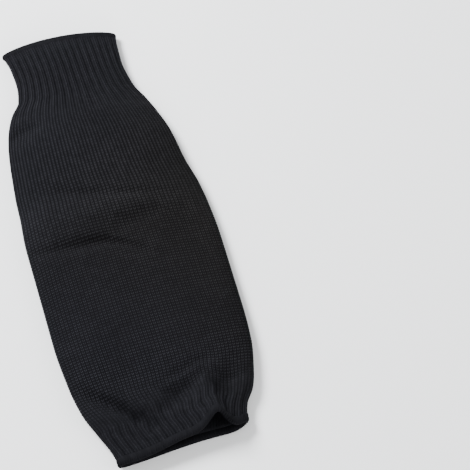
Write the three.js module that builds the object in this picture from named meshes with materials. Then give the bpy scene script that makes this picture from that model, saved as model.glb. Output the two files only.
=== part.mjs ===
import * as THREE from "three";

// A knitted cut resistant sleeve that lies on a table. It is one hollow tube, flattened by its own
// weight: a rolled rim and a ribbed cuff at the wrist, a plain knit body with soft cross folds, and a
// ribbed elastic band with a thicker rolled rim at the upper arm, whose mouth gapes towards one side.
// Millimetres. +Y runs from the arm mouth to the wrist, +X to the right, +Z up from the table.

// Lengths of the knitted zones, measured along the tube.
const wristEdgeLength = 4.5;
const cuffLength = 56.5;
const bodyLength = 273;
const armBandLength = 22.5;
const armEdgeLength = 6;

// Flat widths of the zones, and how thick each lies on the table at its crown.
const cuffWidth = 90;
const bodyWidth = 151;
const armWidth = 104;
const cuffLoft = 15;
const bodyLoft = 22;
const armLoft = 17;

// Thickness of the knit and of the rims, and the ribs.
const bodyWall = 2;
const ribbedWall = 2.6;
const ribCount = 32;
const ribDepth = 1.1;
const wristEdgeThickness = 3.2;
const armEdgeThickness = 3.8;
const seamGap = 0.3;

// The arm mouth: how far its hem and its right corner draw back, how far its upper lip hangs over
// and sags at the left, how far the lip's pinch draws back and stands up, and from which share of
// the body it rises.
const hemPull = 3;
const cornerPull = 6;
const lipPull = 1.5;
const lipSag = 2;
const pinchPull = 10;
const pinchRise = 12;
const riseStart = 0.93;

// How square the upper and the lower half of a section are: 2 is an ellipse.
const crownPower = 2.3;
const undersidePower = 4.5;

// Where the upper layer begins at the side folds: shares of the way from the fold to the crown.
const layerStart = 0.15;
const layerFull = 0.75;

// Points of the mesh: round the tube, along each zone, and round a rim's own section.
const columns = 2 * ribCount;
const cuffRows = 7;
const armBandRows = 5;
const rimSides = 6;
const outlineSamples = 360;

// Zones in order from the wrist, each with its start, end and length along the tube.
const zones = {};
let tubeLength = 0;
for (const [name, length] of [
  ["wristEdge", wristEdgeLength],
  ["cuff", cuffLength],
  ["body", bodyLength],
  ["armBand", armBandLength],
  ["armEdge", armEdgeLength],
]) {
  const start = tubeLength === 0 ? 0 : tubeLength + seamGap;
  zones[name] = { start, end: start + length, length };
  tubeLength = zones[name].end;
}

const along = (zone, share) => zones[zone].start + share * zones[zone].length;

// A table as a list of rows with named columns.
const table = (names, rows) =>
  rows.map((row) => Object.fromEntries(names.map((name, i) => [name, row[i]])));

// Outline and thickness of the lying tube. at: share of the zone's length. of: the named width and
// loft that a row follows. middle: the section's middle, and width: its width, as shares of that
// width. loft: share of that loft. side: height of the side fold, as a share of the section's loft.
// skew: how far a knit row runs back from left to right, and bow: how far it bulges towards the
// wrist, as shares of the section's width.
const sections = table(
  ["zone", "at", "of", "middle", "width", "loft", "side", "skew", "bow"],
  [
    ["wristEdge", 0.0, "cuff", -0.062, 1.045, 0.8, 0.42, 0.05, 0.05],
    ["cuff", 0.14, "cuff", -0.048, 1.0, 0.92, 0.4, 0.06, 0.04],
    ["cuff", 0.42, "cuff", -0.04, 0.98, 1.0, 0.36, 0.07, 0.03],
    ["cuff", 0.76, "cuff", -0.034, 1.05, 1.02, 0.36, 0.1, 0.01],
    ["body", 0.0, "cuff", -0.039, 1.222, 1.12, 0.36, 0.12, 0.0],
    ["body", 0.05, "body", -0.03, 0.797, 0.92, 0.33, 0.08, 0.01],
    ["body", 0.13, "body", -0.025, 0.869, 1.0, 0.3, 0.05, 0.02],
    ["body", 0.24, "body", -0.021, 0.92, 1.0, 0.28, 0.03, 0.02],
    ["body", 0.32, "body", -0.008, 0.96, 0.98, 0.28, 0.02, 0.02],
    ["body", 0.4, "body", -0.004, 0.99, 0.95, 0.28, 0.01, 0.02],
    ["body", 0.5, "body", 0.002, 1.0, 0.94, 0.28, 0.0, 0.02],
    ["body", 0.72, "body", 0.004, 0.998, 0.97, 0.28, 0.0, 0.01],
    ["body", 0.84, "body", 0.008, 0.973, 1.0, 0.3, 0.0, 0.0],
    ["body", 0.93, "body", 0.006, 0.911, 0.98, 0.32, 0.0, 0.0],
    ["body", 1.0, "arm", 0.02, 1.198, 1.12, 0.34, -0.01, 0.0],
    ["armBand", 0.6, "arm", 0.019, 1.07, 0.96, 0.38, -0.03, 0.0],
    ["armEdge", 1.0, "arm", 0.014, 0.99, 0.9, 0.42, -0.04, 0.0],
  ],
);

// Folds of the upper layer: a valley where depth is above 0 and a ridge where it is below. Each
// runs straight between two points, given across as a share of half the body's width and along as
// a share of its length. reach: half width of the fold, and depth, as shares of the body's loft.
const folds = table(
  ["fromAcross", "fromAlong", "toAcross", "toAlong", "reach", "depth"],
  [
    [-0.88, 0.435, -0.25, 0.455, 0.34, 0.24],
    [-0.05, 0.47, 0.4, 0.505, 0.4, 0.1],
    [-0.95, 0.33, 0.62, 0.36, 0.5, -0.09],
    [-0.15, 0.42, 0.62, 0.41, 0.7, 0.14],
    [-0.25, 0.27, 0.62, 0.29, 0.4, 0.05],
    [-0.85, 0.85, -0.3, 1.01, 0.38, 0.3],
    [0.0, 0.99, 0.28, 0.945, 0.45, 0.24],
    [0.42, 0.99, 0.7, 0.93, 0.45, 0.34],
    [-0.66, 0.02, -0.3, 0.02, 0.4, 0.14],
  ],
);

// Where the arm mouth draws back and rises. at: share of half the arm width. left and right: reach
// to each side, as shares of the same half. start: where on the body the pull begins, as a share of
// its length. under: how much of the pull the lower layer follows.
const lips = table(
  ["at", "left", "right", "pull", "rise", "start", "under"],
  [
    [0.3, 0.9, 0.7, hemPull, 0, 0.86, 1],
    [-0.45, 0.5, 0.5, -lipPull, -lipSag, 0.86, 0],
    [0.62, 0.28, 0.14, pinchPull, pinchRise, 0.8, 0],
    [1.14, 0.22, 0.5, cornerPull, 0, 0.92, 1],
  ],
);

// Rows of the body's mesh, closer together where its folds are.
const bodyStretches = table(
  ["from", "to", "rows"],
  [
    [0.0, 0.05, 2],
    [0.05, 0.29, 3],
    [0.29, 0.53, 9],
    [0.53, 0.83, 4],
    [0.83, 1.0, 7],
  ],
);

const widths = { cuff: cuffWidth, body: bodyWidth, arm: armWidth };
const lofts = { cuff: cuffLoft, body: bodyLoft, arm: armLoft };

// The sections again with real lengths, in order along the tube.
const stations = sections.map((row) => ({
  place: along(row.zone, row.at),
  middle: row.middle * widths[row.of],
  half: (row.width * widths[row.of]) / 2,
  loft: row.loft * lofts[row.of],
  side: row.side,
  skew: row.skew,
  bow: row.bow,
}));

// How fast one column of the stations changes at a station, with no overshoot between two of them.
function slopeAt(key, n) {
  const last = stations.length - 1;
  const step = (i) =>
    (stations[i + 1][key] - stations[i][key]) / (stations[i + 1].place - stations[i].place);
  if (n === 0) return step(0);
  if (n === last) return step(last - 1);
  const before = step(n - 1);
  const after = step(n);
  return before * after <= 0 ? 0 : (2 * before * after) / (before + after);
}

// One column of the stations at any place along the tube, on a smooth curve.
function columnAt(key, place) {
  const next = stations.findIndex((station) => station.place > place);
  const i = next === -1 ? stations.length - 2 : Math.max(next - 1, 0);
  const [from, to] = [stations[i], stations[i + 1]];
  const span = to.place - from.place;
  const t = THREE.MathUtils.clamp((place - from.place) / span, 0, 1);
  const ease = t * t * (3 - 2 * t);
  const leaving = t * (1 - t) ** 2 * span * slopeAt(key, i);
  const arriving = t * t * (t - 1) * span * slopeAt(key, i + 1);
  return THREE.MathUtils.lerp(from[key], to[key], ease) + leaving + arriving;
}

const bell = (distance, reach) => Math.exp(-((distance / reach) ** 2));

// How deep the folds press the upper layer down at a point of the plan.
function foldDepth(x, place) {
  const point = new THREE.Vector3(x, place, 0);
  const nearest = new THREE.Vector3();
  let depth = 0;
  for (const fold of folds) {
    const run = new THREE.Line3(
      new THREE.Vector3((fold.fromAcross * bodyWidth) / 2, along("body", fold.fromAlong), 0),
      new THREE.Vector3((fold.toAcross * bodyWidth) / 2, along("body", fold.toAlong), 0),
    );
    run.closestPointToPoint(point, true, nearest);
    depth += fold.depth * bodyLoft * bell(nearest.distanceTo(point), fold.reach * bodyLoft);
  }
  return depth;
}

// How far the mouth draws back and stands up at a distance x from the middle. topness: 0 on the
// lower layer and 1 on the upper one.
function lipAt(x, topness, place) {
  const risen = THREE.MathUtils.smoothstep(place, along("body", riseStart), zones.armEdge.end);
  const moved = { pull: 0, rise: 0 };
  for (const lip of lips) {
    const away = (2 * x) / armWidth - lip.at;
    const share = bell(away, away < 0 ? lip.left : lip.right);
    const drawn = THREE.MathUtils.smoothstep(place, along("body", lip.start), zones.armEdge.start);
    moved.pull += share * drawn * lip.pull * THREE.MathUtils.lerp(lip.under, 1, topness);
    moved.rise += share * risen * lip.rise * topness;
  }
  return moved;
}

// The rims are thicker than the knit, so the lower layer lifts a little to let them rest.
function liftAt(place) {
  const wristLift = (wristEdgeThickness - ribbedWall) / 2;
  const armLift = (armEdgeThickness - ribbedWall) / 2;
  const halfCuff = along("cuff", 0.5);
  const nearWrist = 1 - THREE.MathUtils.smoothstep(place, zones.wristEdge.end, halfCuff);
  const nearArm = THREE.MathUtils.smoothstep(place, zones.armBand.start, zones.armEdge.start);
  return wristLift * nearWrist + armLift * nearArm;
}

// A superellipse's height over its width, both as shares.
const rounded = (share, power) => (1 - Math.min(1, Math.abs(share)) ** power) ** (1 / power);

// The outer outline of one section as [x, z, topness] points, anticlockwise from the right side.
function outline(place) {
  const middle = columnAt("middle", place);
  const half = columnAt("half", place);
  const loft = columnAt("loft", place);
  const sideHeight = columnAt("side", place) * loft;
  const lift = liftAt(place);
  const points = [];
  for (let i = 0; i < outlineSamples; i++) {
    const angle = (2 * Math.PI * i) / outlineSamples;
    const upper = Math.sin(angle) >= 0;
    const power = upper ? crownPower : undersidePower;
    const across = Math.sign(Math.cos(angle)) * Math.abs(Math.cos(angle)) ** (2 / power);
    const x = middle + half * across;
    if (upper) {
      const topness = THREE.MathUtils.smoothstep(rounded(across, 2), layerStart, layerFull);
      const crown = (loft - sideHeight) * rounded(across, power);
      const shaped = lipAt(x, topness, place).rise - topness * foldDepth(x, place);
      points.push([x, lift + sideHeight + crown + shaped, topness]);
    } else {
      points.push([x, lift + sideHeight * (1 - rounded(across, power)), 0]);
    }
  }
  return points;
}

// The outline again at even steps of its own length, with the outward normal of each point.
function evenOutline(place) {
  const raw = outline(place);
  const lengths = [0];
  raw.forEach((point, i) => {
    const next = raw[(i + 1) % raw.length];
    lengths.push(lengths[i] + Math.hypot(next[0] - point[0], next[1] - point[1]));
  });
  const points = [];
  let i = 0;
  for (let k = 0; k < columns; k++) {
    const target = (k / columns) * lengths[raw.length];
    while (lengths[i + 1] < target) i++;
    const t = (target - lengths[i]) / (lengths[i + 1] - lengths[i]);
    const next = raw[(i + 1) % raw.length];
    points.push(raw[i].map((value, n) => value + t * (next[n] - value)));
  }
  return points.map(([x, z, topness], k) => {
    const before = points[(k + columns - 1) % columns];
    const after = points[(k + 1) % columns];
    const normal = new THREE.Vector2(after[1] - before[1], before[0] - after[0]).normalize();
    return { x, z, topness, normal };
  });
}

// A point of the tube, inset from its outer face along the section's normal.
function tubePoint(place, spot, inset) {
  const half = columnAt("half", place);
  const across = THREE.MathUtils.clamp((spot.x - columnAt("middle", place)) / half, -1, 1);
  const bulge = columnAt("bow", place) * 2 * half * (1 - across * across);
  const skewed = columnAt("skew", place) * half * across;
  const drawn = lipAt(spot.x, spot.topness, place).pull;
  return new THREE.Vector3(
    spot.x - spot.normal.x * inset,
    tubeLength / 2 - place + bulge - skewed + drawn,
    spot.z - spot.normal.y * inset,
  );
}

// A closed solid from rows of points that join round the section and round the wall.
function closedGrid(rows) {
  const across = rows[0].length;
  const index = [];
  rows.forEach((row, r) => {
    const nextRow = (r + 1) % rows.length;
    row.forEach((point, c) => {
      const nextColumn = (c + 1) % across;
      const [a, b] = [r * across + c, r * across + nextColumn];
      const [d, e] = [nextRow * across + c, nextRow * across + nextColumn];
      index.push(a, d, b, b, d, e);
    });
  });
  const geometry = new THREE.BufferGeometry();
  const positions = rows.flat().flatMap((point) => point.toArray());
  geometry.setAttribute("position", new THREE.Float32BufferAttribute(positions, 3));
  geometry.setIndex(index);
  geometry.computeVertexNormals();
  return geometry;
}

// A knitted zone: its outer face row by row towards the wrist, then its inner face back again.
// grooves: 0 for plain knit, or how deep every second column lies in the outer face.
function knitTube(places, wall, grooves) {
  const outer = [];
  const inner = [];
  for (const place of places) {
    const spots = evenOutline(place);
    outer.unshift(spots.map((spot, k) => tubePoint(place, spot, k % 2 ? grooves : 0)));
    inner.push(spots.map((spot) => tubePoint(place, spot, wall)));
  }
  return closedGrid([...outer, ...inner]);
}

// A rolled rim: a flattened round section, with straight ends, that runs round the tube's end.
function rolledRim(zone, thickness) {
  const halfLength = zones[zone].length / 2;
  const reach = 1 / Math.cos(Math.PI / rimSides);
  const rows = [];
  for (let i = 0; i < rimSides; i++) {
    const angle = (2 * Math.PI * (i + 0.5)) / rimSides;
    const place = along(zone, 0.5) + reach * Math.cos(angle) * halfLength;
    const inset = ribbedWall / 2 - Math.sin(angle) * (thickness / 2);
    rows.push(evenOutline(place).map((spot) => tubePoint(place, spot, inset)));
  }
  return closedGrid(rows);
}

// Places at even steps from one share of a zone's length to another.
const evenPlaces = (zone, from, to, count) =>
  Array.from({ length: count + 1 }, (_, i) => along(zone, THREE.MathUtils.lerp(from, to, i / count)));

function bodyPlaces() {
  const places = bodyStretches.flatMap(({ from, to, rows }) =>
    evenPlaces("body", from, to, rows).slice(0, -1));
  return [...places, zones.body.end];
}

const plainKnit = () => new THREE.MeshStandardMaterial({ color: 0x26272b, roughness: 0.85, metalness: 0 });
const ribKnit = () => new THREE.MeshStandardMaterial({ color: 0x28292d, roughness: 0.88, metalness: 0 });
const overlock = () => new THREE.MeshStandardMaterial({ color: 0x2b2c30, roughness: 0.7, metalness: 0 });

function piece(name, geometry, material) {
  const mesh = new THREE.Mesh(geometry, material);
  mesh.name = name;
  return mesh;
}

const wristEdge = () => piece("wrist_edge", rolledRim("wristEdge", wristEdgeThickness), overlock());

const wristCuff = () =>
  piece("wrist_cuff", knitTube(evenPlaces("cuff", 0, 1, cuffRows), ribbedWall, ribDepth), ribKnit());

const sleeveBody = () => piece("sleeve_body", knitTube(bodyPlaces(), bodyWall, 0), plainKnit());

const armBand = () =>
  piece("arm_band", knitTube(evenPlaces("armBand", 0, 1, armBandRows), ribbedWall, ribDepth), ribKnit());

const armEdge = () => piece("arm_edge", rolledRim("armEdge", armEdgeThickness), overlock());

const sleeve = new THREE.Group();
sleeve.add(wristEdge(), wristCuff(), sleeveBody(), armBand(), armEdge());

// The origin lies on the table, under the middle of the sleeve.
const extent = new THREE.Box3().setFromObject(sleeve);
const middlePoint = extent.getCenter(new THREE.Vector3());
sleeve.position.set(-middlePoint.x, -middlePoint.y, -extent.min.z);

export default sleeve;
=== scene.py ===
"""A knitted cut resistant sleeve that lies on a table: its fine knit, ribs, rims and folds."""
import math

import bpy
import numpy as np
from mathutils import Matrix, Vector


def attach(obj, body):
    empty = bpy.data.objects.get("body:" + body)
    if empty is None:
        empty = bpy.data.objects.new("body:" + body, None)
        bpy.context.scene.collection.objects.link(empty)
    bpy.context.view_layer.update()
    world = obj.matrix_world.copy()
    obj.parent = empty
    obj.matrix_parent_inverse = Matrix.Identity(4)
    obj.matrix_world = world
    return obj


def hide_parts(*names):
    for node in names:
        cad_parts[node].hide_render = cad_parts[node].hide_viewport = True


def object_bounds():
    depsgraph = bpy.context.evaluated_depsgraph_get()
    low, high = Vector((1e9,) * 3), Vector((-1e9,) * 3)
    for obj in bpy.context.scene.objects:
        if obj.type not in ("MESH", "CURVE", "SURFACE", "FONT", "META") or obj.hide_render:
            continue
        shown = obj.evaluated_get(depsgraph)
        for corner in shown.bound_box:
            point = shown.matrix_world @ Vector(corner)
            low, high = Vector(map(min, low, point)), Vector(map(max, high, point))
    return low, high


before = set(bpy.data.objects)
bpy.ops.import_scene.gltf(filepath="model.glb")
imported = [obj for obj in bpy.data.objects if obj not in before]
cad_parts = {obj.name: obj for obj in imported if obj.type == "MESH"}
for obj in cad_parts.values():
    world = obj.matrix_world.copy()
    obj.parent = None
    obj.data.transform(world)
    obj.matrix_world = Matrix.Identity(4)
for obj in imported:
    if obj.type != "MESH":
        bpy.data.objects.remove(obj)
solid_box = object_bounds()

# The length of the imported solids, in metres, and a millimetre of the real sleeve at that length.
# Every size follows them.
WHOLE_LENGTH = solid_box[1][1] - solid_box[0][1]
MM = WHOLE_LENGTH / 370.5

# Lengths of the knitted zones along the tube, and the small gap at each seam.
ZONE_LENGTHS = {
    "wrist_edge": 4.5 * MM,
    "cuff": 56.5 * MM,
    "body": 273 * MM,
    "arm_band": 22.5 * MM,
    "arm_edge": 6 * MM,
}
SEAM_GAP = 0.3 * MM

# How far a rim reaches over the knit beside it.
RIM_TUCK = 1.2 * MM

# Flat widths and lofts of the zones.
WIDTHS = {"cuff": 90 * MM, "body": 151 * MM, "arm": 104 * MM}
LOFTS = {"cuff": 15 * MM, "body": 22 * MM, "arm": 17 * MM}

# Thickness of the knit and of the rims.
BODY_WALL = 2 * MM
RIBBED_WALL = 2.6 * MM
WRIST_EDGE_THICKNESS = 3.2 * MM
ARM_EDGE_THICKNESS = 3.8 * MM

# The knit: stitches round the tube, stitches to a rib, and the height of one row of stitches.
WALES = 102
WALES_TO_A_RIB = 3
COURSE = 2.314 * MM

# A stitch: how steeply its legs rise, in courses for each wale, and the powers that narrow the gap
# beside it and the cleft between its legs.
V_SLOPE = 1.5
GAP_POWER = 3.0
CLEFT_POWER = 8.0

# The light of a stitch: the power by which it falls off from the crest, how dark the gaps between
# stitches and the valleys between ribs are for each metre of depth, the darkest that both get, and
# how much one stitch may be lighter than another. LIGHT_STEPS is the number of steps across a
# stitch when its mean light is taken.
CREST_POWER = 2.4
GAP_SHADE_FOR_DEPTH = 980
VALLEY_SHADE_FOR_DEPTH = 320
DARKEST_GAP = 0.97
DARKEST_VALLEY = 0.8
OWN_LIGHT_SPREAD = 0.3
LIGHT_STEPS = 32

# The fibres: how often they change over a wale and over a course, and the least and the spread of
# their light.
FIBRES_IN_A_WALE = 5.0
FIBRES_IN_A_COURSE = 9.0
FIBRE_LIGHT_LEAST = 0.6
FIBRE_LIGHT_SPREAD = 0.8

# The heights that the two bumps of the yarn stand for.
STITCH_BUMP_HEIGHT = 0.6 * MM
FIBRE_BUMP_HEIGHT = 0.25 * MM

# How unevenly the outer face lies, and how often that changes over a stitch.
UNEVENNESS = 0.2 * MM
UNEVENNESS_SCALE = 0.45
KNIT_SEED = 7

# Points round an outline while it is worked out, and how far to each side of a point its normal is
# taken over, in stitches.
OUTLINE_POINTS = 1440
NORMAL_REACH = 0.25

# How far the parts of the arm mouth are drawn back, how far they rise or sag, and the share of the
# body where they begin to rise.
HEM_PULL = 3 * MM
CORNER_PULL = 6 * MM
LIP_PULL = 1.5 * MM
LIP_SAG = 2 * MM
PINCH_PULL = 10 * MM
PINCH_RISE = 12 * MM
SLIT_PULL = 2 * MM
SLIT_RISE = 0.6 * MM
RISE_START = 0.93

# The lying section: the powers that round it above and below, and the heights of a round section
# between which the lower layer gives way to the upper one.
CROWN_POWER = 2.3
UNDERSIDE_POWER = 4.5
LAYER_START = 0.15
LAYER_FULL = 0.75

# Outline of the lying tube, a row for each section: the zone and the share of its length where
# the section is, the named width and loft that it follows, its middle and width as shares of that
# width, its loft, the height of its side fold as a share of its loft, and the skew and the bow of
# its knit rows.
SECTIONS = [
    ("wrist_edge", 0.0, "cuff", -0.062, 1.045, 0.8, 0.42, 0.05, 0.05),
    ("cuff", 0.14, "cuff", -0.048, 1.0, 0.92, 0.4, 0.06, 0.04),
    ("cuff", 0.42, "cuff", -0.04, 0.98, 1.0, 0.36, 0.07, 0.03),
    ("cuff", 0.76, "cuff", -0.034, 1.05, 1.02, 0.36, 0.1, 0.01),
    ("body", 0.0, "cuff", -0.039, 1.222, 1.12, 0.36, 0.12, 0.0),
    ("body", 0.05, "body", -0.03, 0.797, 0.92, 0.33, 0.08, 0.01),
    ("body", 0.13, "body", -0.025, 0.869, 1.0, 0.3, 0.05, 0.02),
    ("body", 0.24, "body", -0.021, 0.92, 1.0, 0.28, 0.03, 0.02),
    ("body", 0.32, "body", -0.008, 0.96, 0.98, 0.28, 0.02, 0.02),
    ("body", 0.4, "body", -0.004, 0.99, 0.95, 0.28, 0.01, 0.02),
    ("body", 0.5, "body", 0.002, 1.0, 0.94, 0.28, 0.0, 0.02),
    ("body", 0.72, "body", 0.004, 0.998, 0.97, 0.28, 0.0, 0.01),
    ("body", 0.84, "body", 0.008, 0.973, 1.0, 0.3, 0.0, 0.0),
    ("body", 0.93, "body", 0.006, 0.911, 0.98, 0.32, 0.0, 0.0),
    ("body", 1.0, "arm", 0.02, 1.198, 1.12, 0.34, -0.01, 0.0),
    ("arm_band", 0.6, "arm", 0.019, 1.07, 0.96, 0.38, -0.03, 0.0),
    ("arm_edge", 1.0, "arm", 0.014, 0.99, 0.9, 0.42, -0.04, 0.0),
]

# Folds of the upper layer, each a chain of points with a row for each: across as a share of half
# the body's width, along as a share of its length, then the half width of the fold and its depth
# there, as shares of the body's loft. A depth below 0 is a ridge.
FOLDS = {
    "crease": [
        (-0.95, 0.437, 0.24, 0.1),
        (-0.6, 0.45, 0.25, 0.2),
        (-0.16, 0.464, 0.28, 0.28),
        (0.02, 0.487, 0.25, 0.23),
        (0.2, 0.522, 0.22, 0.13),
        (0.36, 0.55, 0.2, 0.02),
    ],
    "fold above the crease": [
        (-0.8, 0.25, 0.2, 0.03),
        (-0.35, 0.3, 0.2, 0.09),
        (0.2, 0.335, 0.18, 0.1),
        (0.72, 0.36, 0.16, 0.04),
    ],
    "swell above the crease": [
        (-0.95, 0.33, 0.5, -0.12),
        (-0.4, 0.37, 0.5, -0.11),
        (0.1, 0.375, 0.35, -0.06),
        (0.65, 0.395, 0.25, -0.04),
    ],
    "hollow beside the crease": [
        (-0.14, 0.455, 0.4, 0.14),
        (0.08, 0.43, 0.45, 0.21),
        (0.35, 0.415, 0.42, 0.18),
        (0.6, 0.4, 0.35, 0.04),
    ],
    "shallow below it": [
        (0.0, 0.46, 0.8, 0.14),
        (0.3, 0.455, 0.9, 0.15),
    ],
    "broad hollow on the right": [
        (0.66, 0.4, 1.2, 0.06),
        (0.72, 0.48, 1.5, 0.17),
        (0.7, 0.62, 1.4, 0.13),
        (0.66, 0.78, 1.2, 0.03),
    ],
    "dark arc over the band": [
        (-0.1, 0.93, 0.22, 0.02),
        (0.15, 0.905, 0.22, 0.1),
        (0.4, 0.885, 0.2, 0.08),
        (0.55, 0.89, 0.2, 0.02),
    ],
    "left valley of the band": [
        (-0.9, 0.87, 0.2, 0.1),
        (-0.6, 0.935, 0.22, 0.3),
        (-0.35, 1.0, 0.26, 0.38),
        (-0.25, 1.03, 0.25, 0.2),
    ],
    "middle hollow of the band": [
        (-0.05, 1.0, 0.35, 0.12),
        (0.08, 0.975, 0.44, 0.28),
        (0.2, 0.96, 0.42, 0.24),
        (0.34, 0.94, 0.35, 0.08),
    ],
    "right hollow of the band": [
        (0.46, 1.03, 0.35, 0.1),
        (0.55, 0.99, 0.44, 0.28),
        (0.66, 0.95, 0.42, 0.26),
        (0.74, 0.91, 0.35, 0.08),
    ],
    "left shoulder": [
        (-1.0, 0.08, 0.3, 0.24),
        (-0.75, 0.062, 0.34, 0.32),
        (-0.5, 0.05, 0.3, 0.12),
        (-0.35, 0.045, 0.3, 0.03),
    ],
}

# Where the arm mouth draws back and rises, a row for each: the place as a share of half the arm
# width, the reach to the left and right, the pull, the rise, the share of the body where the pull
# begins, and how much of it the lower layer follows.
LIPS = [
    (0.3, 0.9, 0.7, HEM_PULL, 0.0, 0.86, 1.0),
    (-0.45, 0.5, 0.5, -LIP_PULL, -LIP_SAG, 0.86, 0.0),
    (0.62, 0.23, 0.14, PINCH_PULL, PINCH_RISE, 0.8, 0.0),
    (1.14, 0.22, 0.5, CORNER_PULL, 0.0, 0.92, 1.0),
    (0.1, 0.5, 0.6, SLIT_PULL, SLIT_RISE, 0.9, 0.0),
]

# The relief of the knit, a row for each place along the tube: the depth of the gaps between
# stitches and of the ribs, how far the two legs of a stitch stand apart, from 0 to 1, and how
# deeply each course is parted from the next, as a share of the stitches' depth.
RELIEF = [
    ("wrist_edge", 0.0, 0.3 * MM, 0.3 * MM, 0.0, 0.2),
    ("cuff", 0.03, 0.3 * MM, 0.4 * MM, 0.0, 0.2),
    ("cuff", 0.18, 0.45 * MM, 1.1 * MM, 0.0, 0.3),
    ("cuff", 0.75, 0.5 * MM, 0.95 * MM, 0.1, 0.35),
    ("body", 0.0, 0.6 * MM, 0.6 * MM, 0.15, 0.4),
    ("body", 0.05, 0.75 * MM, 0.1 * MM, 0.2, 0.5),
    ("body", 0.09, 0.8 * MM, 0.0, 0.25, 0.5),
    ("body", 0.26, 0.9 * MM, 0.0, 0.4, 0.6),
    ("body", 0.5, 1.05 * MM, 0.0, 0.9, 0.95),
    ("body", 0.85, 1.05 * MM, 0.0, 0.85, 0.9),
    ("body", 0.94, 0.95 * MM, 0.0, 0.7, 0.7),
    ("body", 0.98, 0.75 * MM, 0.25 * MM, 0.45, 0.5),
    ("body", 1.0, 0.65 * MM, 0.5 * MM, 0.3, 0.45),
    ("arm_band", 0.4, 0.5 * MM, 0.8 * MM, 0.1, 0.4),
    ("arm_edge", 1.0, 0.4 * MM, 0.8 * MM, 0.0, 0.3),
]
RELIEF_MARKS = ("stitch", "rib", "open", "parting")

# The knitted pieces, a row for each: its zone, wall and slot, its points over a wale and over a
# course, the points round its inner face, and the rows of that face, as stretches of the zone with
# the share where each ends and its number of rows.
KNITTED = {
    "sleeve_body": (
        "body", BODY_WALL, "plain_knit", 4, 2, 51,
        [(0.1, 7), (0.24, 3), (0.42, 11), (0.54, 12), (0.83, 4), (1, 14)],
    ),
    "wrist_cuff": ("cuff", RIBBED_WALL, "rib_knit", 6, 4, 51, [(1, 20)]),
    "arm_band": ("arm_band", RIBBED_WALL, "rib_knit", 8, 4, 204, [(1, 9)]),
}

# The overlocked rims: the thickness of each, the side on which it meets the cloth, 1 for further
# along the tube, and the pitch of its thread.
RIMS = {
    "wrist_edge": (WRIST_EDGE_THICKNESS, 1, 1.7 * MM),
    "arm_edge": (ARM_EDGE_THICKNESS, -1, 1.9 * MM),
}
RIM_SIDES = 16
RIM_WALE_POINTS = 4
RIM_LINE_POINTS = 720

# The thread of the rims: its radius, how far it leans along the rim, how much smaller than the
# others a loop may be, and how far the roll and the loops are drawn in, as shares of the radius.
THREAD = 0.42 * MM
THREAD_LEAN = 0.35
LOOP_UNEVENNESS = 0.06
LOOP_SEED = 3
ROLL_DRAWN_IN = 0.7
LOOP_DRAWN_IN = 0.9

# The yarn's colour at the right of the sleeve's middle, and a bluer, slightly lighter one towards
# its left and its ends.
KNIT_TINTS = ((0.0072, 0.0069, 0.007), (0.0075, 0.0075, 0.009))
OVERLOCK_TINTS = ((0.0057, 0.0055, 0.0056), (0.0059, 0.0059, 0.0071))

# Where the bluer colour takes over: the weights of a place's distance to the right and of its
# distance along from the middle, and the sums of both where it starts and where it is full.
BLUER_ACROSS = -0.9
BLUER_ALONG = 0.8
BLUER_START = -0.06
BLUER_FULL = 0.12

# The slow change of tone: how strong it is, and how often it comes in a metre.
TONE_SPREAD = 0.5
TONE_SCALE = 22.0

# The faint shine of the yarn.
SPECULAR = 0.02
SHEEN = 0.004
SHEEN_ROUGHNESS = 0.45
SHEEN_TINT = (0.85, 0.9, 1.0, 1)

# The lights, each with its place, the size of its disk, its power and its colour.
LIGHTS = {
    "window": ((-0.72, 0.98, 1.15), 0.7, 84, (0.96, 0.98, 1.0)),
    "fill": ((1.5, -0.7, 0.9), 1.2, 17, (1.0, 0.99, 0.97)),
    "front": ((-0.3, -2.0, 0.7), 1.0, 24, (1.0, 1.0, 1.0)),
}
STUDIO_COLOR = (0.95, 0.97, 1.0, 1)
STUDIO_LIGHT = 0.8
FLOOR_SIZE = 8
FLOOR_COLOR = (0.94, 0.94, 0.94)
FLOOR_ROUGHNESS = 0.9

# The camera, at the photograph's angle, and the point on the table that it aims at.
CAMERA_AZIMUTH = math.radians(-15.8)
CAMERA_ELEVATION = math.radians(65)
CAMERA_DISTANCE = 2.0
CAMERA_LENS = 195.15
AIM = (86.3 * MM, -20.2 * MM, 0.0)


# The places of the zones along the tube, counted from its wrist end.
def zone_places():
    places = {}
    reached = 0.0
    for name, length in ZONE_LENGTHS.items():
        places[name] = (reached, reached + length)
        reached += length + SEAM_GAP
    return places, reached - SEAM_GAP


ZONES, TUBE_LENGTH = zone_places()


def along(zone, share):
    start, end = ZONES[zone]
    return start + share * (end - start)


def smooth_step(value, start, end):
    t = np.clip((value - start) / (end - start), 0, 1)
    return t * t * (3 - 2 * t)


def bell(distance, reach):
    return np.exp(-((distance / reach) ** 2))


# The sections with real lengths, one array for each column of the table.
def make_stations():
    rows = []
    for zone, at, follows, middle, width, loft, side, skew, bow in SECTIONS:
        flat = WIDTHS[follows]
        height = loft * LOFTS[follows]
        rows.append((along(zone, at), middle * flat, width * flat / 2, height, side, skew, bow))
    columns = np.array(rows).T
    return dict(zip(("place", "middle", "half", "loft", "side", "skew", "bow"), columns))


STATIONS = make_stations()


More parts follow.
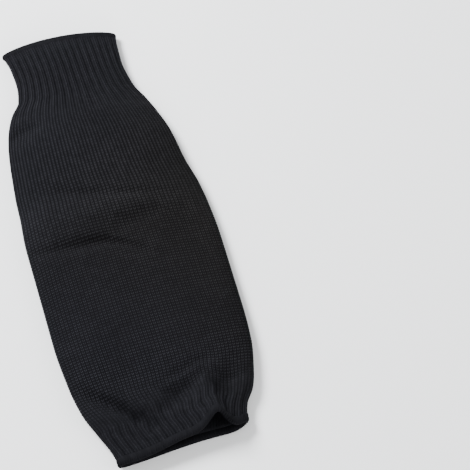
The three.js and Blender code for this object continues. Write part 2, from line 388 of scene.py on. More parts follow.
# A smooth curve through values at its stops, with no overshoot.
def curve_at(stops, values, place):
    steps = np.diff(values) / np.diff(stops)
    slopes = np.empty(len(values))
    slopes[0], slopes[-1] = steps[0], steps[-1]
    before, after = steps[:-1], steps[1:]
    rising = before * after > 0
    total = np.where(rising, before + after, 1.0)
    slopes[1:-1] = np.where(rising, 2 * before * after / total, 0.0)
    i = np.clip(np.searchsorted(stops, place, side="right") - 1, 0, len(stops) - 2)
    span = stops[i + 1] - stops[i]
    t = np.clip((place - stops[i]) / span, 0, 1)
    ease = t * t * (3 - 2 * t)
    leaving = t * (1 - t) ** 2 * span * slopes[i]
    arriving = t * t * (t - 1) * span * slopes[i + 1]
    return values[i] + (values[i + 1] - values[i]) * ease + leaving + arriving


def column_at(key, place):
    return curve_at(STATIONS["place"], STATIONS[key], place)


# Shades of a stitch against its crest: how dark the gaps are, from the depth of the stitches, and
# how dark the valleys between ribs are, from the depth of the ribs.
def shades(stitch, rib):
    gap_shade = np.clip(stitch * GAP_SHADE_FOR_DEPTH, 0, DARKEST_GAP)
    valley_shade = np.clip(rib * VALLEY_SHADE_FOR_DEPTH, 0, DARKEST_VALLEY)
    return gap_shade, valley_shade


# Mean light of the stitch pattern over one wale and one course, for one row of the relief.
def mean_light(stitch, rib, opened, parting):
    steps = (np.arange(LIGHT_STEPS) + 0.5) / LIGHT_STEPS
    across, course = np.meshgrid(steps, steps)
    from_middle = np.abs(across - 0.5)
    gap = np.cos(math.pi / 2 - math.pi * from_middle) ** GAP_POWER
    cleft = np.cos(math.pi * from_middle) ** CLEFT_POWER * opened
    bead = 0.5 + 0.5 * np.cos(2 * math.pi * (course + V_SLOPE * (from_middle - 0.25)))
    crest = np.maximum((1 - gap - cleft) * (1 - parting * (1 - bead)), 0)
    gap_shade, valley_shade = shades(stitch, rib)
    return (1 - gap_shade * (1 - crest ** CREST_POWER)).mean() * (1 - valley_shade / 2)


# The relief's columns at many places along the tube, with the shades and the gain that evens out
# the light of dense and of open stitches.
def relief_at(places):
    stops = np.array([along(row[0], row[1]) for row in RELIEF])
    columns = dict(zip(RELIEF_MARKS, np.array([row[2:] for row in RELIEF]).T))
    columns["gap_shade"], columns["valley_shade"] = shades(columns["stitch"], columns["rib"])
    columns["gain"] = np.array([1 / mean_light(*row[2:]) for row in RELIEF])
    return {mark: curve_at(stops, values, places) for mark, values in columns.items()}


# How deep the folds press the upper layer down at points of the plan. Where dents meet, the
# deepest one counts, and so does the highest of ridges.
def fold_depth(x, place):
    dents = np.zeros_like(x)
    ridges = np.zeros_like(x)
    for chain in FOLDS.values():
        for one, other in zip(chain, chain[1:]):
            ax, ay = one[0] * WIDTHS["body"] / 2, along("body", one[1])
            bx, by = other[0] * WIDTHS["body"] / 2, along("body", other[1])
            run = (bx - ax) ** 2 + (by - ay) ** 2
            t = np.clip(((x - ax) * (bx - ax) + (place - ay) * (by - ay)) / run, 0, 1)
            away = np.hypot(x - ax - t * (bx - ax), place - ay - t * (by - ay))
            reach, depth = [(one[i] + t * (other[i] - one[i])) * LOFTS["body"] for i in (2, 3)]
            pressed = depth * bell(away, reach)
            dents = np.maximum(dents, pressed)
            ridges = np.minimum(ridges, pressed)
    return dents + ridges


# How far the mouth draws back and stands up. topness is 0 on the lower layer and 1 on the upper.
def lip_at(x, topness, place):
    risen = smooth_step(place, along("body", RISE_START), ZONES["arm_edge"][1])
    pull = np.zeros_like(x)
    rise = np.zeros_like(x)
    for at, left, right, lip_pull, lip_rise, start, under in LIPS:
        away = 2 * x / WIDTHS["arm"] - at
        share = bell(away, np.where(away < 0, left, right))
        drawn = smooth_step(place, along("body", start), ZONES["arm_edge"][0])
        pull += share * drawn * lip_pull * (under + (1 - under) * topness)
        rise += share * risen * lip_rise * topness
    return pull, rise


# The rims are thicker than the knit, so the lower layer lifts a little beside them.
def lift_at(place):
    near_wrist = 1 - smooth_step(place, ZONES["wrist_edge"][1], along("cuff", 0.5))
    near_arm = smooth_step(place, ZONES["arm_band"][0], ZONES["arm_edge"][0])
    wrist_lift = (WRIST_EDGE_THICKNESS - RIBBED_WALL) / 2
    arm_lift = (ARM_EDGE_THICKNESS - RIBBED_WALL) / 2
    return wrist_lift * near_wrist + arm_lift * near_arm


def rounded(share, power):
    return (1 - np.minimum(1, np.abs(share)) ** power) ** (1 / power)


# Outlines of the tube's outer face at many places: x, z and topness, then the x and z of the
# normal, each with a row for a place and a column for a point at even steps round it, anticlockwise
# from the right side. A fine ring takes its normals over the same reach as any other fine ring, so
# that zones meet without slits at their seam.
def outlines(places, columns):
    place = np.asarray(places)[:, None]
    middle, half = column_at("middle", place), column_at("half", place)
    loft = column_at("loft", place)
    side = column_at("side", place) * loft
    angle = 2 * np.pi * np.arange(OUTLINE_POINTS) / OUTLINE_POINTS
    upper = np.sin(angle) >= 0
    power = np.where(upper, CROWN_POWER, UNDERSIDE_POWER)
    across = (np.sign(np.cos(angle)) * np.abs(np.cos(angle)) ** (2 / power))[None, :]
    x = middle + half * across
    topness = np.where(upper, smooth_step(rounded(across, 2), LAYER_START, LAYER_FULL), 0.0)
    topness = np.broadcast_to(topness, x.shape)
    crown = side + (loft - side) * rounded(across, power) - topness * fold_depth(x, place)
    crown = crown + lip_at(x, topness, place)[1]
    z = lift_at(place) + np.where(upper, crown, side * (1 - rounded(across, power)))
    spots = [np.empty((len(places), columns)) for _ in range(5)]
    for row in range(len(places)):
        ring = [np.append(values[row], values[row, 0]) for values in (x, z, topness)]
        reached = np.append(0, np.cumsum(np.hypot(np.diff(ring[0]), np.diff(ring[1]))))
        wanted = reached[-1] * np.arange(columns) / columns
        for spot, values in zip(spots, ring):
            spot[row] = np.interp(wanted, reached, values)
        reach = reached[-1] * max(1 / columns, NORMAL_REACH / WALES)
        run_x, run_z = [
            np.interp(wanted + reach, reached, values, period=reached[-1])
            - np.interp(wanted - reach, reached, values, period=reached[-1])
            for values in ring[:2]
        ]
        size = np.hypot(run_x, run_z)
        spots[3][row] = run_z / size
        spots[4][row] = -run_x / size
    return spots


# Points of the tube, each inset from the outer face along its section's normal, and the normals.
def tube_points(places, columns, inset):
    x, z, topness, normal_x, normal_z = outlines(places, columns)
    place = np.asarray(places)[:, None]
    middle, half = column_at("middle", place), column_at("half", place)
    across = np.clip((x - middle) / half, -1, 1)
    bulge = column_at("bow", place) * 2 * half * (1 - across ** 2)
    skewed = column_at("skew", place) * half * across
    drawn = lip_at(x, topness, place)[0]
    y = TUBE_LENGTH / 2 - place + bulge - skewed + drawn
    depth = np.asarray(inset)[:, None]
    normal = np.stack([normal_x, np.zeros_like(normal_x), normal_z], axis=-1)
    return np.stack([x, y, z], axis=-1) - normal * depth[:, :, None], normal


# The shift that brings the tube's middle over the middle of the solids' box.
def find_shift():
    rows = np.linspace(0, TUBE_LENGTH, 120)
    points = tube_points(rows, WALES, np.zeros(len(rows)))[0].reshape(-1, 3)
    middle = (points.min(0) + points.max(0)) / 2
    shift = (np.array(solid_box[0]) + np.array(solid_box[1])) / 2 - middle
    shift[2] = 0.0
    return shift


SHIFT = find_shift()


# A mesh from points, quads and triangles, with a UV map of (wale, course) and point attributes.
def knit_mesh(name, points, faces, corners, marks):
    mesh = bpy.data.meshes.new(name)
    mesh.from_pydata(points.tolist(), [], faces)
    uv = mesh.uv_layers.new(name="knit")
    uv.data.foreach_set("uv", np.concatenate(corners).astype(np.float32).ravel())
    for key, values in marks.items():
        attribute = mesh.attributes.new(key, "FLOAT", "POINT")
        attribute.data.foreach_set("value", values.astype(np.float32))
    mesh.shade_smooth()
    piece = bpy.data.objects.new(name, mesh)
    bpy.context.collection.objects.link(piece)
    return piece


def add_vectors(mesh, name, vectors):
    attribute = mesh.attributes.new(name, "FLOAT_VECTOR", "POINT")
    attribute.data.foreach_set("vector", vectors.astype(np.float32).ravel())


# Marks as sharp each edge whose two points carry the same ring number above 0.
def sharpen_rings(mesh, ring):
    edges = np.empty(2 * len(mesh.edges), dtype=int)
    mesh.edges.foreach_get("vertices", edges)
    one, other = ring[edges[::2]], ring[edges[1::2]]
    attribute = mesh.attributes.new("sharp_edge", "BOOLEAN", "EDGE")
    attribute.data.foreach_set("value", (one > 0) & (one == other))


# Quads of a grid that closes round its columns, with their UV corners.
def grid_faces(rows, columns, first, outward, wale_step, courses):
    r, c = np.meshgrid(np.arange(rows - 1), np.arange(columns), indexing="ij")
    r, c = r.ravel(), c.ravel()
    beside = (c + 1) % columns
    here, below = r * columns, (r + 1) * columns
    quad = np.stack([here + c, here + beside, below + beside, below + c], 1)
    wale = np.stack([c, c + 1, c + 1, c], 1) * wale_step
    course = courses[np.stack([r, r, r + 1, r + 1], 1)]
    corners = np.stack([wale, course], -1)
    if not outward:
        quad, corners = quad[:, ::-1], corners[:, ::-1]
    return (quad + first).tolist(), corners.reshape(-1, 2)


# Triangles between a fine ring of the outer face and a coarse ring of the inner face. Each point
# of the fine ring is joined to the nearer of its two inner points.
def rim_faces(fine_first, fine, coarse_first, coarse, forward, wale_step, course):
    ratio = fine // coarse
    half = ratio // 2
    faces = []
    corners = []
    for j in range(coarse):
        inner, inner_next = coarse_first + j, coarse_first + (j + 1) % coarse
        steps = [j * ratio + t for t in range(ratio + 1)]
        outer = [fine_first + step % fine for step in steps]
        for t in range(ratio):
            near, near_step = (inner, steps[0]) if t < half else (inner_next, steps[ratio])
            faces.append((near, outer[t + 1], outer[t]))
            corners.append((near_step, steps[t + 1], steps[t]))
        faces.append((inner, inner_next, outer[half]))
        corners.append((steps[0], steps[ratio], steps[half]))
    if not forward:
        faces = [face[::-1] for face in faces]
        corners = [corner[::-1] for corner in corners]
    uv = [(step * wale_step, course) for corner in corners for step in corner]
    return faces, np.array(uv)


# Places of the inner wall's rows: shares of a zone from stretches of (end, rows in it).
def inner_shares(stretches):
    shares = [0.0]
    for end, rows in stretches:
        shares.extend(np.linspace(shares[-1], end, rows + 1)[1:])
    return np.array(shares)


# The first course of a zone, counted from the tube's wrist end, and how many it has.
def courses_of(zone):
    first = 0
    for name, length in ZONE_LENGTHS.items():
        count = round(length / COURSE)
        if name == zone:
            return first, count
        first += count


# A knitted zone as one closed wall: a fine outer face and a coarser inner one. It reaches to the
# middle of the seam gaps beside it. inner_columns is the number of points round the inner face.
def knit_tube(name, zone, wall, wale_points, course_points, inner_columns, stretches):
    first_course, course_count = courses_of(zone)
    start, end = ZONES[zone][0] - SEAM_GAP / 2, ZONES[zone][1] + SEAM_GAP / 2
    rows = course_count * course_points + 1
    places = np.linspace(start, end, rows)
    shares = inner_shares(stretches)
    inner_rows = len(shares)
    inner_places = start + shares * (end - start)
    columns = WALES * wale_points
    outer, outer_normal = tube_points(places, columns, np.zeros(rows))
    inner, inner_normal = tube_points(inner_places, inner_columns, np.full(inner_rows, wall))
    outer, inner = outer.reshape(-1, 3), inner.reshape(-1, 3)
    normals = np.concatenate([outer_normal.reshape(-1, 3), inner_normal.reshape(-1, 3)])
    points = np.concatenate([outer, inner]) + SHIFT
    first = len(outer)
    last, inner_last = first - columns, len(points) - inner_columns
    courses = first_course + np.arange(rows) / course_points
    inner_courses = first_course + shares * course_count
    inner_step = WALES / inner_columns
    wale_step = 1 / wale_points
    parts = [
        grid_faces(rows, columns, 0, True, wale_step, courses),
        grid_faces(inner_rows, inner_columns, first, False, inner_step, inner_courses),
        rim_faces(0, columns, first, inner_columns, True, wale_step, courses[0]),
        rim_faces(last, columns, inner_last, inner_columns, False, wale_step, courses[-1]),
    ]
    faces = [face for part, _ in parts for face in part]
    inside = np.zeros(inner_rows * inner_columns)
    inner_wales = np.tile(np.arange(inner_columns) * inner_step, inner_rows)
    marks = {
        "wale": np.concatenate([np.tile(np.arange(columns) * wale_step, rows), inner_wales]),
        "course": np.concatenate([np.repeat(courses, columns), np.repeat(inner_courses, inner_columns)]),
        "outside": np.concatenate([np.ones(rows * columns), inside]),
    }
    for mark, values in relief_at(places).items():
        within = np.ones_like(inside) if mark == "gain" else inside
        marks[mark] = np.concatenate([np.repeat(values, columns), within])
    piece = knit_mesh(name, points, faces, [corners for _, corners in parts], marks)
    add_vectors(piece.data, "away", normals)
    ends = np.zeros(len(points), dtype=int)
    ends[:columns] = 1
    ends[last:first] = 2
    sharpen_rings(piece.data, ends)
    return piece


# Where the first and the last ring of a zone's outer face stand among its points.
def end_rings(zone, wale_points, course_points):
    columns = WALES * wale_points
    last = courses_of(zone)[1] * course_points * columns
    return slice(0, columns), slice(last, last + columns)


def points_of(piece):
    spots = np.empty(3 * len(piece.data.vertices))
    piece.data.vertices.foreach_get("co", spots)
    return spots.reshape(-1, 3)


# Lays a ring of one piece onto the straight runs between the points of a ring of the body, so that
# the two meet without a slit although their numbers of points differ.
def meet_body(piece, ring, body, body_ring):
    spots, target = points_of(piece), points_of(body)[body_ring]
    wanted = np.arange(ring.stop - ring.start) / (ring.stop - ring.start)
    given = np.arange(len(target)) / len(target)
    for axis in range(3):
        spots[ring, axis] = np.interp(wanted, given, target[:, axis], period=1)
    piece.data.vertices.foreach_set("co", spots.ravel())
    piece.data.update()


# A rolled rim as a closed mesh: a flattened round section that runs round the tube's end and
# reaches into the cloth beside it, on the side that inward says.
def rim_mesh(name, zone, thickness, inward, shrink):
    half_length = (ZONES[zone][1] - ZONES[zone][0] + RIM_TUCK - shrink) / 2
    middle = along(zone, 0.5) + inward * (RIM_TUCK + shrink) / 2
    columns = WALES * RIM_WALE_POINTS
    angle = 2 * np.pi * (np.arange(RIM_SIDES) + 0.5) / RIM_SIDES
    places = middle + np.cos(angle) * half_length
    insets = RIBBED_WALL / 2 - np.sin(angle) * (thickness / 2 - shrink)
    points = tube_points(places, columns, insets)[0].reshape(-1, 3) + SHIFT
    r, c = np.meshgrid(np.arange(RIM_SIDES), np.arange(columns), indexing="ij")
    r, c = r.ravel(), c.ravel()
    beside = (c + 1) % columns
    here, below = r * columns, (r + 1) % RIM_SIDES * columns
    quads = np.stack([here + c, here + beside, below + beside, below + c], 1)
    wale = np.stack([c, c + 1, c + 1, c], 1) / RIM_WALE_POINTS
    course = np.stack([r, r, r + 1, r + 1], 1) / RIM_SIDES
    corners = np.stack([wale, course], -1).reshape(-1, 2)
    marks = {"gain": np.ones(len(points))}
    return knit_mesh(name, points, quads.tolist(), [corners], marks)


# Points round a rim's own line, each with the direction out of the cloth and along the tube.
def wrap_points(name, zone, pitch):
    middle = along(zone, 0.5)
    step = (ZONES[zone][1] - ZONES[zone][0]) / 4
    line = tube_points([middle], RIM_LINE_POINTS, [RIBBED_WALL / 2])[0][0]
    count = round(np.linalg.norm(line - np.roll(line, 1, 0), axis=1).sum() / pitch)
    stops = [middle, middle - step, middle + step]
    rings, normals = tube_points(stops, count, np.full(3, RIBBED_WALL / 2))
    centre, before, after = rings
    tangent = np.roll(centre, -1, 0) - np.roll(centre, 1, 0)
    tangent /= np.linalg.norm(tangent, axis=1)[:, None]
    down = after - before
    down /= np.linalg.norm(down, axis=1)[:, None]
    mesh = bpy.data.meshes.new(name)
    mesh.from_pydata((centre + SHIFT).tolist(), [], [])
    add_vectors(mesh, "out", normals[0])
    add_vectors(mesh, "lean", down + THREAD_LEAN * tangent)
    holder = bpy.data.objects.new(name, mesh)
    bpy.context.collection.objects.link(holder)
    return holder


# A node with its settings and inputs; an input may be a value or another node's output.
def add_node(tree, kind, settings=None, inputs=None):
    made = tree.nodes.new(kind)
    for key, value in (settings or {}).items():
        setattr(made, key, value)
    for key, value in (inputs or {}).items():
        if isinstance(value, bpy.types.NodeSocket):
            tree.links.new(value, made.inputs[key])
        else:
            made.inputs[key].default_value = value
    return made


# The result of one sum in a node tree.
def calc(tree, operation, *values):
    made = add_node(tree, "ShaderNodeMath", {"operation": operation}, dict(enumerate(values)))
    return made.outputs[0]


def combined(tree, x, y, z=0.0):
    return add_node(tree, "ShaderNodeCombineXYZ", None, {"X": x, "Y": y, "Z": z}).outputs[0]


def noise(tree, place, scale, detail):
    made = add_node(tree, "ShaderNodeTexNoise", None, {"Vector": place, "Scale": scale, "Detail": detail})
    return made.outputs[0]


# A value that grows smoothly from 0 to 1 between two limits.
def ramp_up(tree, value, start, end):
    inputs = {"Value": value, "From Min": start, "From Max": end}
    made = add_node(tree, "ShaderNodeMapRange", {"interpolation_type": "SMOOTHSTEP"}, inputs)
    return made.outputs["Result"]


# Height of the stitches from 0 to 1, from the wale and course coordinates. Each wale is a ridge
# of V shapes. Their legs stand apart by opened, and a dip parts each course from the next.
def stitch_height(tree, wale, course, opened, parting):
    across = calc(tree, "FRACT", wale)
    from_middle = calc(tree, "ABSOLUTE", calc(tree, "SUBTRACT", across, 0.5))
    to_side = calc(tree, "MULTIPLY_ADD", from_middle, -math.pi, math.pi / 2)
    gap = calc(tree, "POWER", calc(tree, "COSINE", to_side), GAP_POWER)
    to_middle = calc(tree, "MULTIPLY", from_middle, math.pi)
    cleft = calc(tree, "POWER", calc(tree, "COSINE", to_middle), CLEFT_POWER)
    cleft = calc(tree, "MULTIPLY", cleft, opened)
    ridge = calc(tree, "SUBTRACT", calc(tree, "SUBTRACT", 1.0, gap), cleft)
    leg = calc(tree, "MULTIPLY_ADD", from_middle, V_SLOPE, -V_SLOPE / 4)
    turn = calc(tree, "MULTIPLY", calc(tree, "ADD", course, leg), 2 * math.pi)
    bead = calc(tree, "MULTIPLY_ADD", calc(tree, "COSINE", turn), 0.5, 0.5)
    dip = calc(tree, "MULTIPLY", calc(tree, "SUBTRACT", 1.0, bead), parting)
    return calc(tree, "MULTIPLY", ridge, calc(tree, "SUBTRACT", 1.0, dip))


# Height of the ribs from 0 to 1.
def rib_height(tree, wale):
    turn = calc(tree, "MULTIPLY", wale, 2 * math.pi / WALES_TO_A_RIB)
    return calc(tree, "MULTIPLY_ADD", calc(tree, "COSINE", turn), -0.5, 0.5)


def new_tree(name, kind, sockets):
    tree = bpy.data.node_groups.new(name, kind)
    for label, direction, socket_kind in sockets:
        tree.interface.new_socket(label, in_out=direction, socket_type=socket_kind)
    return tree, tree.nodes.new("NodeGroupInput"), tree.nodes.new("NodeGroupOutput")


def attribute_of(tree, name, kind="FLOAT"):
    made = add_node(tree, "GeometryNodeInputNamedAttribute", {"data_type": kind}, {"Name": name})
    return made.outputs["Attribute"]


# Ends a geometry tree: plain geometry in the given material.
def end_tree(tree, geometry, given, result):
    plain = add_node(tree, "GeometryNodeRealizeInstances", None, {"Geometry": geometry})
    dressed = add_node(tree, "GeometryNodeSetMaterial", None, {
        "Geometry": plain.outputs[0], "Material": given.outputs["Material"]})
    tree.links.new(dressed.outputs[0], result.inputs[0])
    return tree


# The tree that presses the grooves between the stitches and ribs into the outer face.
def relief_tree():
    tree, given, result = new_tree("knit relief", "GeometryNodeTree", [
        ("Geometry", "INPUT", "NodeSocketGeometry"),
        ("Material", "INPUT", "NodeSocketMaterial"),
        ("Depth", "INPUT", "NodeSocketFloat"),
        ("Unevenness", "INPUT", "NodeSocketFloat"),
        ("Seed", "INPUT", "NodeSocketInt"),
        ("Geometry", "OUTPUT", "NodeSocketGeometry"),
    ])
    wale, course = attribute_of(tree, "wale"), attribute_of(tree, "course")
    stitch = stitch_height(tree, wale, course, attribute_of(tree, "open"), attribute_of(tree, "parting"))
    from_rib = calc(tree, "SUBTRACT", 1.0, rib_height(tree, wale))
    from_stitch = calc(tree, "SUBTRACT", 1.0, stitch)
    rib_gap = calc(tree, "MULTIPLY", from_rib, attribute_of(tree, "rib"))
    stitch_gap = calc(tree, "MULTIPLY", from_stitch, attribute_of(tree, "stitch"))
    where = combined(tree, wale, course, given.outputs["Seed"])
    cloud = noise(tree, where, UNEVENNESS_SCALE, 2.0)
    uneven = calc(tree, "MULTIPLY", cloud, given.outputs["Unevenness"])
    gaps = calc(tree, "MULTIPLY", calc(tree, "ADD", rib_gap, stitch_gap), given.outputs["Depth"])
    depth = calc(tree, "MULTIPLY", calc(tree, "ADD", gaps, uneven), attribute_of(tree, "outside"))
    inward = calc(tree, "MULTIPLY", depth, -1.0)
    away = attribute_of(tree, "away", "FLOAT_VECTOR")
    offset = add_node(tree, "ShaderNodeVectorMath", {"operation": "SCALE"}, {0: away, "Scale": inward})
    pressed = add_node(tree, "GeometryNodeSetPosition", None, {
        "Geometry": given.outputs[0], "Offset": offset.outputs[0]})
    return end_tree(tree, pressed.outputs[0], given, result)


# The tree that lays a thread loop round the rim at each point of its line.
def wrap_tree():
    tree, given, result = new_tree("overlock wraps", "GeometryNodeTree", [
        ("Geometry", "INPUT", "NodeSocketGeometry"),
        ("Material", "INPUT", "NodeSocketMaterial"),
        ("Line", "INPUT", "NodeSocketObject"),
        ("Half thickness", "INPUT", "NodeSocketFloat"),
        ("Half length", "INPUT", "NodeSocketFloat"),
        ("Thread", "INPUT", "NodeSocketFloat"),
        ("Unevenness", "INPUT", "NodeSocketFloat"),
        ("Seed", "INPUT", "NodeSocketInt"),
        ("Geometry", "OUTPUT", "NodeSocketGeometry"),
    ])
    line = add_node(tree, "GeometryNodeObjectInfo", None, {"Object": given.outputs["Line"]})
    ring = add_node(tree, "GeometryNodeCurvePrimitiveCircle", None, {"Resolution": 12, "Radius": 1.0})
    oval = combined(tree, given.outputs["Half thickness"], given.outputs["Half length"], 1.0)
    loop = add_node(tree, "GeometryNodeTransform", None, {"Geometry": ring.outputs[0], "Scale": oval})
    section = add_node(tree, "GeometryNodeCurvePrimitiveCircle", None, {
        "Resolution": 4, "Radius": given.outputs["Thread"]})
    thread = add_node(tree, "GeometryNodeCurveToMesh", None, {
        "Curve": loop.outputs[0], "Profile Curve": section.outputs[0]})
    smooth = add_node(tree, "GeometryNodeSetShadeSmooth", None, {"Geometry": thread.outputs[0]})
    on_points = {"data_type": "FLOAT", "domain": "POINT"}
    lit = add_node(tree, "GeometryNodeStoreNamedAttribute", on_points, {
        "Geometry": smooth.outputs[0], "Name": "gain", "Value": 1.0})
    axes = {"primary_axis": "X", "secondary_axis": "Y"}
    turn = add_node(tree, "FunctionNodeAxesToRotation", axes, {
        "Primary Axis": attribute_of(tree, "out", "FLOAT_VECTOR"),
        "Secondary Axis": attribute_of(tree, "lean", "FLOAT_VECTOR")})
    least = calc(tree, "SUBTRACT", 1.0, given.outputs["Unevenness"])
    size = add_node(tree, "FunctionNodeRandomValue", {"data_type": "FLOAT"}, {"Seed": given.outputs["Seed"]})
    tree.links.new(least, size.inputs[2])
    size.inputs[3].default_value = 1.0
    spread = add_node(tree, "GeometryNodeInstanceOnPoints", None, {
        "Points": line.outputs["Geometry"], "Instance": lit.outputs[0],
        "Rotation": turn.outputs[0], "Scale": size.outputs[1]})
    both = add_node(tree, "GeometryNodeJoinGeometry")
    tree.links.new(spread.outputs[0], both.inputs[0])
    tree.links.new(given.outputs[0], both.inputs[0])
    return end_tree(tree, both.outputs[0], given, result)


# Runs a tree on a piece with the named values, and leaves the result as the piece's plain mesh.
def grow(piece, tree, values):
    modifier = piece.modifiers.new(tree.name, "NODES")
    modifier.node_group = tree
    sockets = {item.name: item.identifier for item in tree.interface.items_tree if item.in_out == "INPUT"}
    for name, value in values.items():
        modifier[sockets[name]] = value
    bpy.context.view_layer.update()
    graph = bpy.context.evaluated_depsgraph_get()
    mesh = bpy.data.meshes.new_from_object(piece.evaluated_get(graph), depsgraph=graph)
    piece.modifiers.clear()
    mesh.name = piece.name
    piece.data = mesh


def mark_of(tree, name):
    return add_node(tree, "ShaderNodeAttribute", {"attribute_name": name}).outputs["Fac"]


# Light that falls from 1 where the height is 1 to 1 less the named shade where it is 0.
def shaded(tree, height, shade):
    loss = calc(tree, "MULTIPLY", calc(tree, "SUBTRACT", 1.0, height), mark_of(tree, shade))
    return calc(tree, "SUBTRACT", 1.0, loss)


# The shader group for the yarn of each stitch: its light from gap to crest, and a normal with its
# twist and fibres.
def yarn_group():
    tree, given, result = new_tree("yarn of the stitches", "ShaderNodeTree", [
        ("Stitch bump", "INPUT", "NodeSocketFloat"),
        ("Fibre bump", "INPUT", "NodeSocketFloat"),
        ("Light", "OUTPUT", "NodeSocketFloat"),
        ("Normal", "OUTPUT", "NodeSocketVector"),
    ])
    knit = add_node(tree, "ShaderNodeUVMap", {"uv_map": "knit"})
    split = add_node(tree, "ShaderNodeSeparateXYZ", None, {0: knit.outputs[0]})
    wale, course = split.outputs["X"], split.outputs["Y"]
    crest = stitch_height(tree, wale, course, mark_of(tree, "open"), mark_of(tree, "parting"))
    leg = calc(tree, "ABSOLUTE", calc(tree, "SUBTRACT", calc(tree, "FRACT", wale), 0.5))
    slanted = calc(tree, "MULTIPLY_ADD", leg, V_SLOPE, course)
    along_leg = calc(tree, "MULTIPLY", wale, FIBRES_IN_A_WALE)
    across_leg = calc(tree, "MULTIPLY", slanted, FIBRES_IN_A_COURSE)
    fibre = noise(tree, combined(tree, along_leg, across_leg), 1.0, 3.0)
    stitched = add_node(tree, "ShaderNodeBump", None, {
        "Height": crest, "Strength": given.outputs["Stitch bump"], "Distance": STITCH_BUMP_HEIGHT})
    fuzzy = add_node(tree, "ShaderNodeBump", None, {
        "Height": fibre, "Strength": given.outputs["Fibre bump"], "Distance": FIBRE_BUMP_HEIGHT,
        "Normal": stitched.outputs[0]})
    crest_light = calc(tree, "POWER", calc(tree, "MAXIMUM", crest, 0.0), CREST_POWER)
    light = shaded(tree, crest_light, "gap_shade")
    light = calc(tree, "MULTIPLY", light, shaded(tree, rib_height(tree, wale), "valley_shade"))
    light = calc(tree, "MULTIPLY", light, mark_of(tree, "gain"))
    stitch_at = combined(tree, calc(tree, "FLOOR", wale), calc(tree, "FLOOR", slanted))
    chance = add_node(tree, "ShaderNodeTexWhiteNoise", {"noise_dimensions": "2D"}, {"Vector": stitch_at})
    least_light = 1 - OWN_LIGHT_SPREAD / 2
    own_light = calc(tree, "MULTIPLY_ADD", chance.outputs["Value"], OWN_LIGHT_SPREAD, least_light)
    fibre_light = calc(tree, "MULTIPLY_ADD", fibre, FIBRE_LIGHT_SPREAD, FIBRE_LIGHT_LEAST)
    light = calc(tree, "MULTIPLY", light, own_light)
    tree.links.new(calc(tree, "MULTIPLY", light, fibre_light), result.inputs["Light"])
    tree.links.new(fuzzy.outputs[0], result.inputs["Normal"])
    return tree


# The shader group for the slow changes of tone over the sleeve.
def tone_group():
    tree, given, result = new_tree("slow tones", "ShaderNodeTree", [
        ("Spread", "INPUT", "NodeSocketFloat"),
        ("Tone", "OUTPUT", "NodeSocketFloat"),
        ("Blueness", "OUTPUT", "NodeSocketFloat"),
    ])
    place = add_node(tree, "ShaderNodeTexCoord").outputs["Object"]
    cloud = calc(tree, "SUBTRACT", noise(tree, place, TONE_SCALE, 3.0), 0.5)
    swing = calc(tree, "MULTIPLY", cloud, given.outputs["Spread"])
    split = add_node(tree, "ShaderNodeSeparateXYZ", None, {0: place})
    from_centre = calc(tree, "ABSOLUTE", split.outputs["Y"])
    towards_ends = calc(tree, "MULTIPLY", from_centre, BLUER_ALONG)
    slope = calc(tree, "MULTIPLY_ADD", split.outputs["X"], BLUER_ACROSS, towards_ends)
    tree.links.new(calc(tree, "ADD", 1.0, swing), result.inputs["Tone"])
    tree.links.new(ramp_up(tree, slope, BLUER_START, BLUER_FULL), result.inputs["Blueness"])
    return tree


# A knitted or stitched material of dark yarn, in two colours.
def yarn_material(name, groups, tints, stitch_bump, fibre_bump, roughness):
    material = bpy.data.materials.new(name)
    material.use_nodes = True
    tree = material.node_tree
    surface = tree.nodes["Principled BSDF"]
    yarn = add_node(tree, "ShaderNodeGroup", {"node_tree": groups["yarn"]}, {
        "Stitch bump": stitch_bump, "Fibre bump": fibre_bump})
    tone = add_node(tree, "ShaderNodeGroup", {"node_tree": groups["tone"]}, {"Spread": TONE_SPREAD})
    tint_mix = add_node(tree, "ShaderNodeMix", {"data_type": "RGBA"}, {0: tone.outputs["Blueness"]})
    tint_mix.inputs[6].default_value = (*tints[0], 1)
    tint_mix.inputs[7].default_value = (*tints[1], 1)
    light = calc(tree, "MULTIPLY", yarn.outputs["Light"], tone.outputs["Tone"])
    lit = add_node(tree, "ShaderNodeVectorMath", {"operation": "SCALE"}, {0: tint_mix.outputs[2], "Scale": light})
    tree.links.new(lit.outputs[0], surface.inputs["Base Color"])
    tree.links.new(yarn.outputs["Normal"], surface.inputs["Normal"])
    surface.inputs["Roughness"].default_value = roughness
    surface.inputs["Specular IOR Level"].default_value = SPECULAR
    surface.inputs["Sheen Weight"].default_value = SHEEN
    surface.inputs["Sheen Roughness"].default_value = SHEEN_ROUGHNESS
    surface.inputs["Sheen Tint"].default_value = SHEEN_TINT
    return material


def make_materials():
    groups = {"yarn": yarn_group(), "tone": tone_group()}
    return {
        "plain_knit": yarn_material(
            "plain knit", groups, KNIT_TINTS, stitch_bump=0.8, fibre_bump=0.5, roughness=0.8),
        "rib_knit": yarn_material(
            "rib knit", groups, KNIT_TINTS, stitch_bump=0.5, fibre_bump=0.5, roughness=0.8),
        "overlock": yarn_material(
            "overlock", groups, OVERLOCK_TINTS, stitch_bump=0.15, fibre_bump=0.4, roughness=0.7),
    }


def make_knitted(materials):
    relief = relief_tree()
    made = {}
    rings = {}
    for name, (zone, wall, slot, wale_points, course_points, inner_columns, stretches) in KNITTED.items():
        piece = knit_tube(name + "_knit", zone, wall, wale_points, course_points, inner_columns, stretches)
        grow(piece, relief, {
            "Material": materials[slot], "Depth": 1.0, "Unevenness": UNEVENNESS, "Seed": KNIT_SEED})
        made[name] = (piece, slot)
        rings[name] = end_rings(zone, wale_points, course_points)
    body, (wrist_side, arm_side) = made["sleeve_body"][0], rings["sleeve_body"]
    meet_body(made["wrist_cuff"][0], rings["wrist_cuff"][1], body, wrist_side)
    meet_body(made["arm_band"][0], rings["arm_band"][0], body, arm_side)
    return made


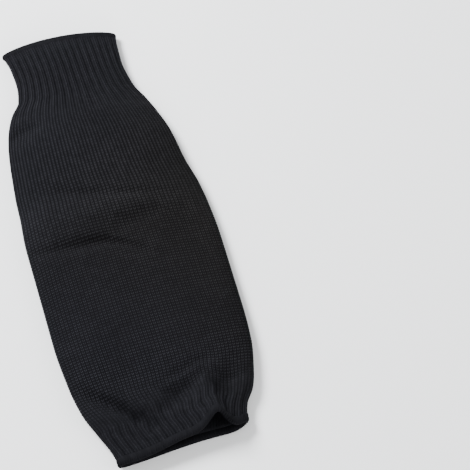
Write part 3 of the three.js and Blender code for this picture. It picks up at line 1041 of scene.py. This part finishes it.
def make_rims(materials):
    wraps = wrap_tree()
    made = {}
    for name, (thickness, inward, pitch) in RIMS.items():
        piece = rim_mesh(name + "_roll", name, thickness, inward, ROLL_DRAWN_IN * THREAD)
        line = wrap_points(name + "_line", name, pitch)
        half_length = (ZONES[name][1] - ZONES[name][0]) / 2
        grow(piece, wraps, {
            "Material": materials["overlock"],
            "Line": line,
            "Half thickness": thickness / 2 - LOOP_DRAWN_IN * THREAD,
            "Half length": half_length - LOOP_DRAWN_IN * THREAD,
            "Thread": THREAD,
            "Unevenness": LOOP_UNEVENNESS,
            "Seed": LOOP_SEED,
        })
        bpy.data.objects.remove(line)
        made[name] = (piece, "overlock")
    return made


# Attaches each piece to the root and hides the imported solid of the same name.
def declare(pieces):
    for name, (piece, slot) in pieces.items():
        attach(piece, "root")
        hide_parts(name)


def plain_material(name, color, roughness):
    material = bpy.data.materials.new(name)
    material.use_nodes = True
    surface = material.node_tree.nodes["Principled BSDF"]
    surface.inputs["Base Color"].default_value = (*color, 1)
    surface.inputs["Roughness"].default_value = roughness
    return material


def make_floor():
    bpy.ops.mesh.primitive_plane_add(size=FLOOR_SIZE, location=(0, 0, 0))
    floor = bpy.context.object
    floor.name = "floor"
    floor.data.materials.append(plain_material("pale floor", FLOOR_COLOR, FLOOR_ROUGHNESS))
    return floor


def area_light(name, place, size, power, color):
    data = bpy.data.lights.new(name, "AREA")
    data.shape = "DISK"
    data.size, data.energy, data.color = size, power, color
    light = bpy.data.objects.new(name, data)
    light.location = place
    aim = -light.location.normalized()
    light.rotation_euler = aim.to_track_quat("-Z", "Y").to_euler()
    bpy.context.collection.objects.link(light)


def make_lights():
    for name, (place, size, power, color) in LIGHTS.items():
        area_light(name, place, size, power, color)
    world = bpy.data.worlds.new("studio")
    world.use_nodes = True
    background = world.node_tree.nodes["Background"]
    background.inputs["Color"].default_value = STUDIO_COLOR
    background.inputs["Strength"].default_value = STUDIO_LIGHT
    bpy.context.scene.world = world


def make_camera():
    data = bpy.data.cameras.new("camera")
    data.lens = CAMERA_LENS
    data.clip_end = 20
    camera = bpy.data.objects.new("camera", data)
    level = math.cos(CAMERA_ELEVATION)
    back = (math.sin(CAMERA_AZIMUTH) * level, -math.cos(CAMERA_AZIMUTH) * level, math.sin(CAMERA_ELEVATION))
    camera.location = [aim + CAMERA_DISTANCE * step for aim, step in zip(AIM, back)]
    camera.rotation_euler = (math.pi / 2 - CAMERA_ELEVATION, 0, CAMERA_AZIMUTH)
    bpy.context.collection.objects.link(camera)
    bpy.context.scene.camera = camera


floor = make_floor()
materials = make_materials()
pieces = {**make_knitted(materials), **make_rims(materials)}
declare(pieces)
make_lights()
make_camera()
